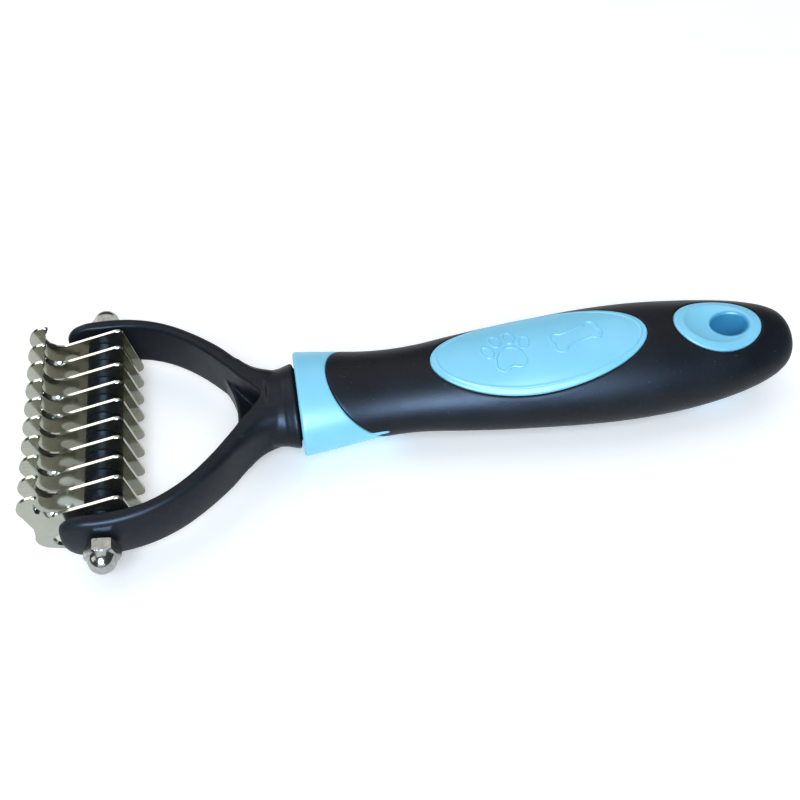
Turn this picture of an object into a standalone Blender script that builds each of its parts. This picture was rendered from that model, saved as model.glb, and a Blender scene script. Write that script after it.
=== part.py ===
"""Deshedding tool: a fork holding a stack of hooked steel blades on a cross bolt, with a two-material handle.

The handle lies along X with the blades at the -X end, the bolt runs along Y, and +Z is up.  The origin is at the
bottom centre of the whole tool's box.  Every length is in metres.
"""
import bmesh
import bpy
import math
from mathutils import Vector

MM = 0.001
GAP = 0.3 * MM                     # clearance kept between neighbouring pieces

# Where the bolt's axis and the handle's axis lie in the part's frame.
FRONT_REACH = 16.75 * MM           # from the bolt's axis forward to the hooks
TAIL_REACH = 169.0 * MM            # from the bolt's axis back to the end of the handle
BELLY_HEIGHT = 11.94 * MM          # half height of the handle where it is fattest
BOLT_X = (FRONT_REACH - TAIL_REACH) / 2
HANDLE_Z = BELLY_HEIGHT
BOLT_Z = HANDLE_Z - 0.65 * MM

# Blade stack.
BLADE_COUNT = 10
BLADE_PITCH = 5.5 * MM
BLADE_THICKNESS = 0.8 * MM
BLADE_HOLE_RADIUS = 2.3 * MM
SPACER_RADIUS = 4.25 * MM
CASSETTE_HALF = 27.0 * MM          # from the middle of the stack to the outside of an end washer

# Bolt and nuts.
BOLT_RADIUS = 2.0 * MM
BOLT_HALF = 36.6 * MM
NUT_FLATS = 7.0 * MM
NUT_SEAT = 31.9 * MM               # distance of a nut's seat from the middle plane
NUT_HEX_HEIGHT = 3.2 * MM
DOME_RADIUS = 3.25 * MM
DOME_CENTRE = 35.3 * MM
NUT_BORE_RADIUS = 2.3 * MM
NUT_BORE_END = 36.9 * MM

# Fork: stations along one arm, from its tip to the crotch.  Each is the outer and the inner side seen from above,
# measured from the bolt's axis and the middle plane, and the arm's half height there.
ARM_STATIONS = (
    ((-8.9, 29.0), (-8.9, 27.5), 2.2),
    ((-8.5, 29.4), (-8.5, 27.4), 4.1),
    ((-7.2, 29.8), (-7.2, 27.35), 5.6),
    ((-4.6, 30.2), (-4.6, 27.35), 6.6),
    ((0.0, 30.45), (0.0, 27.35), 6.7),
    ((4.5, 30.3), (4.3, 27.2), 6.7),
    ((10.0, 29.3), (9.2, 26.4), 6.7),
    ((16.0, 26.9), (14.6, 24.2), 6.7),
    ((22.0, 23.0), (20.2, 20.4), 6.7),
    ((27.5, 18.4), (25.2, 15.6), 6.7),
    ((32.5, 13.2), (30.0, 10.0), 6.7),
    ((37.0, 9.9), (34.5, 4.6), 6.7),
    ((42.0, 8.4), (40.0, 1.5), 6.6),
)
ARM_EDGE_ROUND = 1.5 * MM
CROTCH_EDGE_ROUND = 2.5 * MM
BOSS_RADIUS = 4.8 * MM             # round pad under each nut
BOSS_FACE = 31.6 * MM
CROTCH_FRONT = 31.6 * MM           # front edge of the web between the arms, on the middle plane
CROTCH_HALF = 11.6 * MM
CROTCH_HEIGHT = 6.75 * MM
POCKET_TIP = 37.9 * MM             # where the hollow above the web comes to a point
POCKET_FLOOR = -0.4 * MM
NECK_START = 39.2 * MM
NECK_END = 46.4 * MM
NECK_HALF = (10.2 * MM, 7.7 * MM)
NECK_END_HALF = (11.2 * MM, 8.3 * MM)
TANG_HALF = (5.4 * MM, 3.0 * MM)
TANG_END = 84.0 * MM
ARM_HOLE_RADIUS = 2.3 * MM

# Handle: (distance behind the bolt's axis, mean radius, how far the tail has risen) along it, in millimetres.
HANDLE_PROFILE = (
    (46.7, 11.6, 0.0), (47.4, 12.4, 0.0), (50.0, 12.1, 0.0), (56.0, 11.4, 0.0), (62.0, 10.65, 0.0),
    (69.0, 10.3, 0.0), (76.0, 10.55, 0.0), (84.0, 11.45, 0.0), (93.0, 12.4, 0.0), (104.0, 13.3, 0.0),
    (115.0, 14.0, 0.0), (125.0, 14.3, 0.0), (134.0, 14.05, 0.0), (143.0, 13.3, 0.05), (150.0, 12.4, 0.3),
    (156.0, 11.3, 0.65), (161.0, 9.95, 1.0), (164.6, 8.5, 1.4), (167.3, 6.7, 1.8), (169.0, 3.6, 2.2),
)
SECTION_WIDE = 1.115               # half width over mean radius
SECTION_TALL = 0.835               # half height over mean radius
SECTION_SIDES = 28
GRIP_THICKNESS = 2.0 * MM
GRIP_CUT_X = 61.5 * MM             # where the slanted front edge of the grip crosses the handle's axis
GRIP_CUT_LEAN = 0.9                # how far forward that edge runs for each unit of height
OVAL_X = 104.6 * MM
OVAL_HALF = (26.3 * MM, 11.9 * MM)
EYELET_X = 149.3 * MM
EYELET_HALF = (11.0 * MM, 8.1 * MM)
HANG_HOLE_X = 152.0 * MM
HANG_HOLE_HALF = (5.0 * MM, 4.2 * MM)
DISH_X = 149.2 * MM
DISH_HALF = (8.4 * MM, 6.0 * MM)
DISH_DEPTH = 2.0 * MM

STEEL = ((0.62, 0.62, 0.60), 0.18, 1.0)
CHROME = ((0.75, 0.75, 0.75), 0.08, 1.0)
GLOSS_BLACK = ((0.012, 0.013, 0.016), 0.18, 0.0)
SATIN_BLACK = ((0.030, 0.032, 0.040), 0.45, 0.0)
SKY_BLUE = ((0.22, 0.66, 0.90), 0.42, 0.0)
SOFT_BLACK = ((0.018, 0.018, 0.022), 0.62, 0.0)


def clear_scene():
    for obj in list(bpy.data.objects):
        bpy.data.objects.remove(obj, do_unlink=True)


def material(name, finish):
    colour, roughness, metallic = finish
    made = bpy.data.materials.new(name)
    made.use_nodes = True
    shader = made.node_tree.nodes["Principled BSDF"]
    shader.inputs["Base Color"].default_value = (*colour, 1.0)
    shader.inputs["Roughness"].default_value = roughness
    shader.inputs["Metallic"].default_value = metallic
    return made


def new_object(name, mesh, finish=None, location=(0, 0, 0), parent=None):
    obj = bpy.data.objects.new(name, mesh)
    bpy.context.collection.objects.link(obj)
    obj.location = location
    obj.parent = parent
    if finish is not None:
        mesh.materials.append(material(name, finish))
    return obj


def tool_object(name, mesh):
    """A solid that only shapes others: it is left out of the model itself."""
    obj = new_object(name, mesh)
    obj.hide_render = True
    obj.display_type = "WIRE"
    return obj


def shape(target, tool, operation):
    step = target.modifiers.new(tool.name, "BOOLEAN")
    step.object = tool
    step.operation = operation
    step.solver = "EXACT"


def mesh_from(name, bm, smooth_angle=None):
    bmesh.ops.recalc_face_normals(bm, faces=bm.faces)
    mesh = bpy.data.meshes.new(name)
    bm.to_mesh(mesh)
    bm.free()
    if smooth_angle is not None:
        mesh.shade_smooth()
        mesh.set_sharp_from_angle(angle=math.radians(smooth_angle))
    return mesh


def loft(name, rings, smooth_angle=None):
    """A closed solid through rings that all hold the same number of points."""
    bm = bmesh.new()
    rows = [[bm.verts.new(point) for point in ring] for ring in rings]
    count = len(rings[0])
    for near, far in zip(rows, rows[1:]):
        for i in range(count):
            j = (i + 1) % count
            bm.faces.new((near[i], near[j], far[j], far[i]))
    bm.faces.new(rows[0])
    bm.faces.new(rows[-1])
    return mesh_from(name, bm, smooth_angle)


def ellipse(half_y, half_z, x, z, sides):
    ring = []
    for i in range(sides):
        turn = 2 * math.pi * i / sides
        ring.append(Vector((x, half_y * math.cos(turn), z + half_z * math.sin(turn))))
    return ring


def spline(points, t):
    """Catmull-Rom curve through tuples of numbers, with t counted in stations from the first."""
    last = len(points) - 1
    i = min(int(t), last - 1)
    f = t - i
    a, b, c, d = (points[min(max(k, 0), last)] for k in (i - 1, i, i + 1, i + 2))
    return tuple(
        0.5 * (2 * q + (r - p) * f + (2 * p - 5 * q + 4 * r - s) * f * f + (3 * q - p - 3 * r + s) * f ** 3)
        for p, q, r, s in zip(a, b, c, d)
    )


def arc(centre, radius, start, end, steps):
    """Points on a round stretch of an outline, from one angle to another in degrees."""
    points = []
    for i in range(steps + 1):
        turn = math.radians(start + (end - start) * i / steps)
        points.append((centre[0] + radius * math.cos(turn), centre[1] + radius * math.sin(turn)))
    return points


def prism_y(name, outline, low, high, smooth_angle=None):
    """An outline in X and Z, given in metres, made solid from y = low to y = high."""
    rings = [[Vector((x, y, z)) for x, z in outline] for y in (low, high)]
    return loft(name, rings, smooth_angle)


def prism_z(name, outline, low, high):
    """An outline in X and Y, given in metres, made solid from z = low to z = high."""
    rings = [[Vector((x, y, z)) for x, y in outline] for z in (low, high)]
    return loft(name, rings)


def tube_y(name, outer, inner, low, high, sides):
    """A round sleeve along Y, centred on the origin in X and Z."""
    bm = bmesh.new()
    rows = []
    for radius, y in ((outer, low), (outer, high), (inner, high), (inner, low)):
        row = []
        for i in range(sides):
            turn = 2 * math.pi * i / sides
            row.append(bm.verts.new((radius * math.cos(turn), y, radius * math.sin(turn))))
        rows.append(row)
    for near, far in zip(rows, rows[1:] + rows[:1]):
        for i in range(sides):
            j = (i + 1) % sides
            bm.faces.new((near[i], near[j], far[j], far[i]))
    return mesh_from(name, bm, 40)


def rod_y(name, radius, low, high, sides):
    outline = [(radius * math.cos(2 * math.pi * i / sides), radius * math.sin(2 * math.pi * i / sides))
               for i in range(sides)]
    return prism_y(name, outline, low, high, 40)


# ---------------------------------------------------------------- blades and spacers

def blade_outline():
    """One blade seen along the bolt, in millimetres from the bolt's axis: X back, Z up, anticlockwise."""
    points = []
    points += arc((4.2, 6.0), 1.7, 8, 102, 4)                  # top corner at the back
    points += arc((-9.3, 8.0), 3.45, 285, 140, 9)              # mouth of the upper hook
    points += arc((-12.25, 10.9), 0.85, 20, 120, 3)            # upper hook's tip
    points += arc((-12.3, 7.2), 4.45, 102, 206, 7)             # back of the upper hook
    points += [(-15.1, 0.0)]                                   # notch between the two hooks
    points += arc((-12.0, -4.7), 3.9, 155, 235, 4)             # back of the lower hook
    points += arc((-9.6, -8.75), 0.85, 250, 380, 3)            # lower hook's tip
    points += arc((-9.7, -5.7), 2.1, 300, 60, 8)               # mouth of the lower hook
    points += arc((-3.4, -7.0), 1.6, 190, 265, 3)              # heel in front of the bolt
    points += arc((6.2, -6.3), 1.9, 275, 368, 4)               # rounded end below the back edge
    return points


def blade_mesh():
    outline = [(x * MM, z * MM) for x, z in blade_outline()]
    half = BLADE_THICKNESS / 2
    return prism_y("blade", outline, -half, half)


def make_cassette(axis):
    """Blades, the sleeves between them and the two end washers, all turning about the bolt's axis."""
    plate = blade_mesh()
    hole = tool_object("blade_hole_cutter", rod_y("blade_hole_cutter", BLADE_HOLE_RADIUS, -0.03, 0.03, 16))
    hole.parent = axis
    plate.materials.append(material("blade", STEEL))
    first = -(BLADE_COUNT - 1) / 2 * BLADE_PITCH
    for i in range(BLADE_COUNT):
        blade = new_object(f"blade_{i + 1:02d}", plate, None, (0, first + i * BLADE_PITCH, 0), axis)
        shape(blade, hole, "DIFFERENCE")
    sleeve_half = (BLADE_PITCH - BLADE_THICKNESS) / 2 - GAP / 2
    sleeve = tube_y("spacer", SPACER_RADIUS, BLADE_HOLE_RADIUS, -sleeve_half, sleeve_half, 20)
    sleeve.materials.append(material("spacer", GLOSS_BLACK))
    for i in range(BLADE_COUNT - 1):
        place = (0, first + (i + 0.5) * BLADE_PITCH, 0)
        new_object(f"spacer_{i + 1:02d}", sleeve, None, place, axis)
    inside = -first + BLADE_THICKNESS / 2 + GAP / 2
    for side, name in ((-1, "end_washer_right"), (1, "end_washer_left")):
        low, high = sorted((side * inside, side * CASSETTE_HALF))
        washer = tube_y(name, SPACER_RADIUS, BLADE_HOLE_RADIUS, low, high, 20)
        new_object(name, washer, GLOSS_BLACK, (0, 0, 0), axis)


# ---------------------------------------------------------------- bolt and nuts

def make_bolt(axis):
    new_object("through_bolt", rod_y("through_bolt", BOLT_RADIUS, -BOLT_HALF, BOLT_HALF, 16), CHROME, (0, 0, 0), axis)


def nut_rings(side):
    """Hexagon, shoulder and dome of one nut as rings along Y, from its seat outward."""
    sides = 24
    corner = NUT_FLATS / math.sqrt(3)

    def hexagon(y, most):
        ring = []
        for i in range(sides):
            turn = 2 * math.pi * i / sides
            from_flat = (turn + math.pi / 6) % (math.pi / 3) - math.pi / 6
            reach = min(corner * math.cos(math.pi / 6) / math.cos(from_flat), most)
            ring.append(Vector((reach * math.sin(turn), side * y, reach * math.cos(turn))))
        return ring

    top = NUT_SEAT + NUT_HEX_HEIGHT
    rings = [hexagon(NUT_SEAT, corner), hexagon(top - 0.35 * MM, corner), hexagon(top, NUT_FLATS * 0.51)]
    for step in range(6):
        lean = math.radians(-3 + step * 16.5)
        rings.append(hexagon(DOME_CENTRE + DOME_RADIUS * math.sin(lean), DOME_RADIUS * math.cos(lean)))
    return rings


def make_nut(side, name, axis):
    nut = new_object(name, loft(name, nut_rings(side), 30), CHROME, (0, 0, 0), axis)
    low, high = sorted((side * (NUT_SEAT - 1 * MM), side * NUT_BORE_END))
    bore = tool_object(name + "_bore_cutter", rod_y(name + "_bore_cutter", NUT_BORE_RADIUS, low, high, 16))
    bore.parent = axis
    shape(nut, bore, "DIFFERENCE")


# ---------------------------------------------------------------- fork

def arm_mesh(side, name):
    """One arm lofted from its tip to the crotch: flat inside, rounded outside."""
    stations = [(*outer, *inner, height) for outer, inner, height in ARM_STATIONS]
    rings = []
    for step in range(2 * (len(stations) - 1) + 1):
        ox, oy, ix, iy, height = (value * MM for value in spline(stations, step / 2))
        inner = Vector((ix, iy))
        outward = Vector((ox, oy)) - inner
        width = outward.length
        outward.normalize()
        toward_neck = max(0.0, step / 2 - 9) / 3
        round_off = ARM_EDGE_ROUND + toward_neck * (CROTCH_EDGE_ROUND - ARM_EDGE_ROUND)
        bend = min(round_off, width * 0.6, height * 0.6)
        edge = min(0.4 * MM, bend)
        profile = [(edge, -height), (0.0, -height + edge), (0.0, height - edge), (edge, height)]
        profile += arc((width - bend, height - bend), bend, 90, 0, 3)
        profile += arc((width - bend, -height + bend), bend, 0, -90, 3)
        ring = []
        for reach, z in profile:
            flat = inner + outward * reach
            ring.append(Vector((flat.x, side * flat.y, z)))
        rings.append(ring)
    return loft(name, rings, 40)


def crotch_mesh():
    """Block that joins the arms to the neck, with a hollow front edge."""
    front = []
    for i in range(7):
        y = CROTCH_HALF * (i / 3 - 1)
        front.append((CROTCH_FRONT - 2.6 * MM * (y / CROTCH_HALF) ** 2, y))
    back = [(36.0, 8.0), (40.5, 6.8), (45.0, 6.8), (45.0, -6.8), (40.5, -6.8), (36.0, -8.0)]
    outline = front + [(x * MM, y * MM) for x, y in back]
    return prism_z("fork_crotch", outline, -CROTCH_HEIGHT, CROTCH_HEIGHT)


def pocket_mesh():
    """The wedge-shaped hollow between the arms, above the web."""
    outline = [(20.0, 19.95), (25.1, 15.45), (29.9, 9.85), (34.4, 4.45), (37.6, 0.5)]
    outline = [(x * MM, y * MM) for x, y in outline] + [(POCKET_TIP, 0.0)]
    outline += [(x, -y) for x, y in reversed(outline[:-1])]
    return prism_z("fork_pocket", outline, POCKET_FLOOR, 12 * MM)


def make_fork(axis):
    fork = new_object("fork", arm_mesh(1, "fork"), SATIN_BLACK, (0, 0, 0), axis)
    lift = HANDLE_Z - BOLT_Z
    neck = []
    for i in range(5):
        x = NECK_START + (NECK_END - NECK_START) * i / 4
        grow = (i / 4) ** 2
        neck.append(ellipse(
            NECK_HALF[0] + grow * (NECK_END_HALF[0] - NECK_HALF[0]),
            NECK_HALF[1] + grow * (NECK_END_HALF[1] - NECK_HALF[1]),
            x, lift * i / 4, 24))
    tang_y, tang_z = TANG_HALF
    tang = [(44.0 * MM, -tang_y), (TANG_END, -tang_y), (TANG_END, tang_y), (44.0 * MM, tang_y)]
    boss = rod_y("fork_boss", BOSS_RADIUS, -BOSS_FACE, -28.5 * MM, 20)
    second_boss = rod_y("fork_second_boss", BOSS_RADIUS, 28.5 * MM, BOSS_FACE, 20)
    parts = [
        tool_object("fork_boss", second_boss),
        tool_object("fork_crotch", crotch_mesh()),
        tool_object("fork_second_arm", arm_mesh(-1, "fork_second_arm")),
        tool_object("fork_second_boss", boss),
        tool_object("fork_neck", loft("fork_neck", neck, 40)),
        tool_object("fork_tang", prism_z("fork_tang", tang, lift - tang_z, lift + tang_z)),
    ]
    cutters = [
        tool_object("fork_pocket", pocket_mesh()),
        tool_object("fork_hole_cutter", rod_y("fork_hole_cutter", ARM_HOLE_RADIUS, -0.04, 0.04, 16)),
    ]
    for part in parts + cutters:
        part.parent = axis
        shape(fork, part, "DIFFERENCE" if part in cutters else "UNION")


# ---------------------------------------------------------------- handle

def handle_rings(inset):
    """Cross-sections of the handle's outside, or of a skin that lies inset below it."""
    stations = [(x * MM, radius * MM, rise * MM) for x, radius, rise in HANDLE_PROFILE]
    first = BOLT_X + stations[0][0]
    rings = []
    for x, radius, rise in stations:
        half_y = SECTION_WIDE * radius - inset
        half_z = SECTION_TALL * radius - inset
        if min(half_y, half_z) < 1.0 * MM:
            continue
        rings.append(ellipse(half_y, half_z, BOLT_X + x, HANDLE_Z + rise, SECTION_SIDES))
    if inset:
        rings[0] = [Vector((first + 1.0 * MM, point.y, point.z)) for point in rings[0]]
    return rings


def oval_outline(centre_x, half, grow, sides):
    return [
        (BOLT_X + centre_x + (half[0] + grow) * math.cos(2 * math.pi * (i + 0.5) / sides),
         (half[1] + grow) * math.sin(2 * math.pi * (i + 0.5) / sides))
        for i in range(sides)
    ]


def show_through(name, grow):
    """Everything in front of the grip's slanted edge, the thumb oval and the eyelet, as one tool solid."""
    edge_x = BOLT_X + GRIP_CUT_X + grow * math.hypot(1, GRIP_CUT_LEAN)
    reach = 30 * MM
    lean = reach * GRIP_CUT_LEAN
    front = [
        (edge_x - lean - 20 * MM, HANDLE_Z + reach), (edge_x - lean, HANDLE_Z + reach),
        (edge_x + lean, HANDLE_Z - reach), (edge_x - lean - 20 * MM, HANDLE_Z - reach),
    ]
    tool = tool_object(name, prism_y(name, front, -reach, reach))
    oval = tool_object(name + "_oval", prism_z(
        name + "_oval", oval_outline(OVAL_X, OVAL_HALF, grow, 32), HANDLE_Z + 1 * MM, HANDLE_Z + reach))
    eyelet = tool_object(name + "_eyelet", prism_z(
        name + "_eyelet", oval_outline(EYELET_X, EYELET_HALF, grow, 24), HANDLE_Z - reach, HANDLE_Z + reach))
    shape(tool, oval, "UNION")
    shape(tool, eyelet, "UNION")
    return tool


def dish_mesh(side):
    """Shallow spoon-shaped cutter over the hang hole, on the upper (1) or the lower (-1) face."""
    top = HANDLE_Z + side * (SECTION_TALL * 12.4 * MM) + 0.35 * MM
    rings = []
    for i in range(5):
        sink = 1 - (i / 4) ** 2
        shrink = 0.12 + 0.88 * i / 4
        z = top - side * DISH_DEPTH * sink
        outline = [(BOLT_X + DISH_X + DISH_HALF[0] * shrink * math.cos(2 * math.pi * (k + 0.5) / 20),
                    DISH_HALF[1] * shrink * math.sin(2 * math.pi * (k + 0.5) / 20), z) for k in range(20)]
        rings.append([Vector(point) for point in outline])
    rings.append([point + Vector((0, 0, side * 6 * MM)) for point in rings[-1]])
    return loft("dish", rings)


def make_handle():
    core = new_object("handle_core", loft("handle_core", handle_rings(0.0), 40), SKY_BLUE)
    grip = new_object("handle_grip", loft("handle_grip", handle_rings(0.0), 40), SOFT_BLACK)
    shape(core, show_through("core_shows", 0.0), "INTERSECT")
    shape(core, tool_object("core_body", loft("core_body", handle_rings(GRIP_THICKNESS + GAP))), "UNION")
    shape(grip, show_through("grip_window", GAP), "DIFFERENCE")
    shape(grip, tool_object("grip_inside", loft("grip_inside", handle_rings(GRIP_THICKNESS))), "DIFFERENCE")

    socket_y, socket_z = (half + GAP for half in TANG_HALF)
    start, end = BOLT_X + 44 * MM, BOLT_X + TANG_END + GAP
    socket = [(start, -socket_y), (end, -socket_y), (end, socket_y), (start, socket_y)]
    hang = oval_outline(HANG_HOLE_X, HANG_HOLE_HALF, 0.0, 24)
    cutters = [
        tool_object("socket_cutter", prism_z("socket_cutter", socket, HANDLE_Z - socket_z, HANDLE_Z + socket_z)),
        tool_object("upper_dish_cutter", dish_mesh(1)),
        tool_object("lower_dish_cutter", dish_mesh(-1)),
        tool_object("hang_hole_cutter", prism_z("hang_hole_cutter", hang, -20 * MM, 60 * MM)),
    ]
    for cutter in cutters:
        shape(core, cutter, "DIFFERENCE")


def main():
    clear_scene()
    axis = bpy.data.objects.new("bolt_axis", None)
    bpy.context.collection.objects.link(axis)
    axis.location = (BOLT_X, 0, BOLT_Z)
    make_fork(axis)
    make_handle()
    make_bolt(axis)
    make_cassette(axis)
    make_nut(1, "acorn_nut_left", axis)
    make_nut(-1, "acorn_nut_right", axis)


main()
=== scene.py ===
"""Looks of the deshedding tool: a forked head with hooked steel blades on a cross bolt, and a two-material handle.

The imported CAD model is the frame.  Every piece but the hidden bolt, which keeps its CAD mesh, is rebuilt here with
finer geometry in the CAD node's own place and rides on the node's body.  Lengths are in millimetres from the middle
of the cross bolt, with X back along the handle, Y along the bolt and Z up; at() turns them into the frame's metres.
"""

import math

import bmesh
import bpy
from mathutils import Euler, Matrix, Vector, geometry


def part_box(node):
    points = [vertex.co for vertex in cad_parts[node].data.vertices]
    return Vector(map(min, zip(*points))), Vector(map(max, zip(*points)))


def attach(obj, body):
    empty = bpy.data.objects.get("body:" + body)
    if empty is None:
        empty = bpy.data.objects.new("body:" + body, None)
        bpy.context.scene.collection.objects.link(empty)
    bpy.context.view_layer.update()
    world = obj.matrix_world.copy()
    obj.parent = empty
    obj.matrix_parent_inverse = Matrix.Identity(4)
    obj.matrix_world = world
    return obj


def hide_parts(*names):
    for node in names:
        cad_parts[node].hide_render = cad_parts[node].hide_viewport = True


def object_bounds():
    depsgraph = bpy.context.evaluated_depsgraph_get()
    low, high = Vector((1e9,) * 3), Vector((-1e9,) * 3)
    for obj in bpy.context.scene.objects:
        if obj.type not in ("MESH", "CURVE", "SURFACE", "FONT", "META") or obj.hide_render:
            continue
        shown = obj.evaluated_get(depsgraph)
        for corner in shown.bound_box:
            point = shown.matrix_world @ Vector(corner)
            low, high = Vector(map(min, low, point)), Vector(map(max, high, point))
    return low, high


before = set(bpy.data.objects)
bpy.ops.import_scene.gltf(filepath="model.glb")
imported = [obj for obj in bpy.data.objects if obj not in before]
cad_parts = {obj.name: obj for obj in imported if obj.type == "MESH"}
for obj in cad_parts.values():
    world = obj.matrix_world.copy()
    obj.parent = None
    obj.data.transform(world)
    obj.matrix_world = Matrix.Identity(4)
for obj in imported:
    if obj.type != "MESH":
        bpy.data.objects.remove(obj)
cad_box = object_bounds()

MM = 0.001
bolt_low, bolt_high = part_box("through_bolt")
BOLT = (bolt_low + bolt_high) / 2
UP = Vector((0, 0, 1))

# Blades, sleeves and end washers.
BLADE_COUNT = 10
BLADE_PITCH = 5.5
BLADE_THICKNESS = 0.8
BLADE_EDGE = 0.07  # softening of a blade's stamped edges
BORE_RADIUS = 2.3  # clearance hole for the bolt, in every piece on it
BORE_SIDES = 48
# A blade's ground bevel.
GRIND_WIDTH = (1.2, 1.5, 1.15, 1.3, 1.2, 1.4, 1.2, 1.4, 1.2, 1.5)  # widest part, blade by blade
GRIND_DEPTH = (0.74, 0.34, 0.73, 0.30, 0.34, 0.62, 0.74, 0.32, 0.75, 0.34)  # how deep it cuts at the edge
GRIND_STEPS = 6
GRIND_CURVE = 1.15  # hollowness: 1 would be flat
GRIND_ONSET = 4.0  # how much sooner the full depth is reached than the full width
MOUTH_PEAK = 0.29  # where along the hook's mouth the bevel is widest
MOUTH_REST = 0.16  # share of the width left beyond the widest part
MOUTH_FADE = 0.5  # how far along the mouth it takes to narrow
MOUTH_END = 0.85  # where the bevel starts to run out
LOWER_GRIND = 0.4  # share of the width in the lower hook's mouth

# A blade's outline as arcs: centre, radius, start and end angle, and steps.
TAIL_TOP = ((4.2, 6.0), 1.7, 8, 102, 10)
HOOK_MOUTH = ((-9.3, 8.0), 3.45, 285, 140, 40)
HOOK_POINT = ((-12.25, 10.9), 0.85, 20, 120, 8)
HOOK_BACK = ((-12.3, 7.2), 4.45, 102, 206, 24)
FRONT_WAIST = (-15.1, 0.0)
LOWER_BACK = ((-12.0, -4.7), 3.9, 155, 235, 14)
LOWER_POINT = ((-9.6, -8.75), 0.85, 250, 380, 8)
LOWER_MOUTH = ((-9.7, -5.7), 2.1, 300, 60, 24)
SHANK_BOTTOM = ((-3.4, -7.0), 1.6, 190, 265, 8)
TAIL_BOTTOM = ((6.2, -6.3), 1.9, 275, 368, 12)

SLEEVE_RADIUS = 4.25
SLEEVE_ROUND = 0.22
SLEEVE_GAP = 0.05  # between a sleeve and each blade
SLEEVE_SIDES = 64
CASSETTE_HALF = 27.0

# Acorn nuts.
NUT_FLATS = 7.0
NUT_SEAT = 31.9
NUT_SEAT_GAP = 0.02
NUT_SEAT_BEVEL = 0.1
NUT_REACH = 0.02  # how far the turned profile passes the hexagon's corners
NUT_TOP = 35.1
NUT_BORE_END = 36.9
NUT_CHAMFER = 0.45
NUT_CHAMFER_STEPS = 12
NUT_LAND = 3.42  # radius of the flat end inside the chamfer
NUT_SIDES = 144
DOME_RADIUS = 3.25
DOME_CENTRE = 35.24
DOME_FOOT = ((0.12, 0.03), (0.02, 0.12))  # beyond the dome's radius, and above the hexagon
DOME_FIRST = 2.0  # degrees up the dome to its first ring
DOME_STEP = 6.2
DOME_RINGS = 15
NUT_TURN = 0.14  # radians each nut stops past flat-side-up, judged

# Fork: stations along one arm from its tip, each the outer side, the inner side and the half height.
ARM_STATIONS = (
    (-8.95, 28.9, -8.95, 27.6, 1.6), (-8.6, 29.4, -8.6, 27.4, 3.9), (-7.2, 29.9, -7.2, 27.35, 5.6),
    (-4.6, 30.3, -4.6, 27.35, 6.6), (0.0, 30.6, 0.0, 27.35, 6.7), (4.5, 30.4, 4.3, 27.2, 6.7),
    (10.0, 29.3, 9.2, 26.4, 6.7), (16.0, 26.9, 14.6, 24.2, 6.7), (22.0, 23.0, 20.2, 20.4, 6.7),
    (27.5, 18.4, 25.2, 15.6, 6.7), (32.5, 13.4, 30.0, 10.0, 6.7), (37.0, 10.1, 34.5, 4.6, 6.7),
    (42.0, 8.6, 40.0, 1.5, 6.6),
)
ARM_ROUND = 1.7
ARM_GROWTH = (30.0, 0.3)  # where the outer rounding starts to grow, and how fast
ARM_ROUND_LIMIT = (0.6, 0.8)  # the most of the arm's thickness and of its half height that it takes
ARM_INNER_ROUND = 0.35
ARM_CROWN = 0.45  # how far an arm's outer side bulges at mid height
ARM_CROWN_FADE = (20.0, 13.0)  # where the bulge starts to fade, and over what length
ARM_STEP = 0.8
WEB_FRONT = 31.4
WEB_HOLLOW = 2.6  # how far the web's front edge runs forward at its ends
WEB_HALF = 11.6
WEB_HEIGHT = 6.7
WEB_BACK = (1.5, 0.55)  # how far it runs past the hollow's tip, and how fast it draws in sideways
WEB_LIFT = 0.1  # of the web's underside above the block's
WEB_GRID = (25, 10)
POCKET_TIP = 37.6
POCKET_FLOOR = (0.1, -3.6)  # height of the hollow's floor at the front and at the tip
POCKET_FLAT = 0.8  # level part of the floor at the front
POCKET_CURVE = 0.7
POCKET_SIDE = ((30.0, 10.4), (34.4, 4.75), (37.1, 1.15))
BLOCK_SIDE = ((30.6, 11.8), (33.0, 12.0), (36.5, 7.6), (41.0, 3.9))
# The round neck: distance behind the bolt, half width and half height.
NECK = (
    (39.0, 10.0, 7.4), (41.0, 10.2, 7.65), (42.4, 10.5, 7.9), (44.0, 10.95, 8.2), (45.4, 11.35, 8.5),
    (45.8, 11.2, 8.35),
)
NECK_RISE = 0.05
NECK_RISE_LENGTH = 5.0
NECK_SIDES = 64
NECK_STEP = 0.3
NECK_STUB = (9.4, 6.9)  # half width and half height of the part inside the collar
STUB_SPAN = (44.0, 48.1)
STUB_SIDES = 48
SHOULDER_X = 42.9
SHOULDER_DEPTH = 0.09
SHOULDER_START = -1.2  # where the shallow groove before the shoulder begins
SHOULDER_FADE = 0.9
SHOULDER_STEP = (-0.25, 0.5)  # start and length of the step back out
SHOULDER_STEEP = 0.7  # faces leaning more than this along the handle stay as they are
DRILL_REACH = 40.0
FORK_VOXEL = 0.3
FORK_SMOOTHING = 7

# Handle: distance behind the bolt, mean radius and rise of the tail.
HANDLE_RISE = 0.65  # the handle's axis above the bolt's axis
HANDLE_PROFILE = (
    (46.2, 12.5, 0.0), (50.0, 12.1, 0.0), (56.0, 11.4, 0.0), (62.0, 10.65, 0.0), (69.0, 10.3, 0.0),
    (76.0, 10.55, 0.0), (84.0, 11.45, 0.0), (93.0, 12.4, 0.0), (104.0, 13.3, 0.0), (115.0, 14.0, 0.0),
    (125.0, 14.27, 0.0), (134.0, 14.05, 0.0), (143.0, 13.35, 0.05), (150.0, 12.42, 0.3), (156.0, 11.3, 0.65),
    (161.0, 9.95, 1.0), (164.6, 8.5, 1.4), (167.2, 6.7, 1.8), (168.5, 4.8, 2.05), (168.9, 3.3, 2.15),
    (168.99, 0.8, 2.2),
)
SECTION_WIDE = 1.115  # half width over mean radius
SECTION_TALL = 0.835  # half height over mean radius
SKIN_STEP = 0.25
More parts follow.
